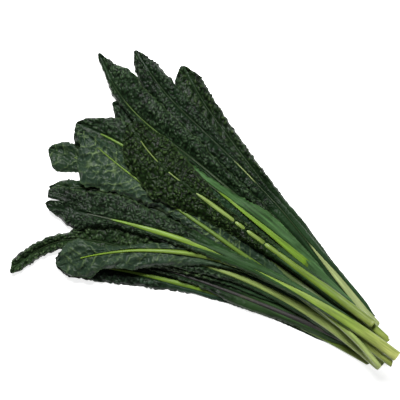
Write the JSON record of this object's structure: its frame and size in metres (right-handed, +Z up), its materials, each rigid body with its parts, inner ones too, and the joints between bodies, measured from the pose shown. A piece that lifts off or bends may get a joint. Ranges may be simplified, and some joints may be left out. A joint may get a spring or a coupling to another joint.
{
  "type": "lacinato kale bunch",
  "caption": "Loose bunch of long, dark, blistered kale leaves on pale ribbed stalks, lying flat with the cut ends together and the leaf tips fanned out.",
  "frame": {"origin": "middle of the bunch's outline, on the surface that it lies on", "axes": "+X along the bunch from the cut ends to the leaf tips, +Z up off the surface, +Y to the left seen from above"},
  "size_m": [0.4012, 0.2627, 0.0491],
  "materials": {
    "kale_blade": "waxy, blistered, dark blue-green",
    "kale_stalk": "smooth, satin, pale yellow-green"
  },
  "bodies": {
    "root": {"leaf_01_blade": "kale_blade", "leaf_01_stalk": "kale_stalk", "leaf_02_blade": "kale_blade", "leaf_02_stalk": "kale_stalk", "leaf_03_blade": "kale_blade", "leaf_03_stalk": "kale_stalk", "leaf_04_blade": "kale_blade", "leaf_04_stalk": "kale_stalk", "leaf_05_blade": "kale_blade", "leaf_05_stalk": "kale_stalk", "leaf_06_blade": "kale_blade", "leaf_06_stalk": "kale_stalk", "leaf_07_blade": "kale_blade", "leaf_07_stalk": "kale_stalk", "leaf_08_blade": "kale_blade", "leaf_08_stalk": "kale_stalk", "leaf_09_blade": "kale_blade", "leaf_09_stalk": "kale_stalk", "leaf_10_blade": "kale_blade", "leaf_10_stalk": "kale_stalk", "leaf_11_blade": "kale_blade", "leaf_11_stalk": "kale_stalk", "leaf_12_blade": "kale_blade", "leaf_12_stalk": "kale_stalk", "leaf_13_blade": "kale_blade", "leaf_13_stalk": "kale_stalk", "leaf_14_blade": "kale_blade", "leaf_14_stalk": "kale_stalk", "leaf_15_blade": "kale_blade", "leaf_15_stalk": "kale_stalk", "leaf_16_blade": "kale_blade", "leaf_16_stalk": "kale_stalk"}
  },
  "joints": []
}
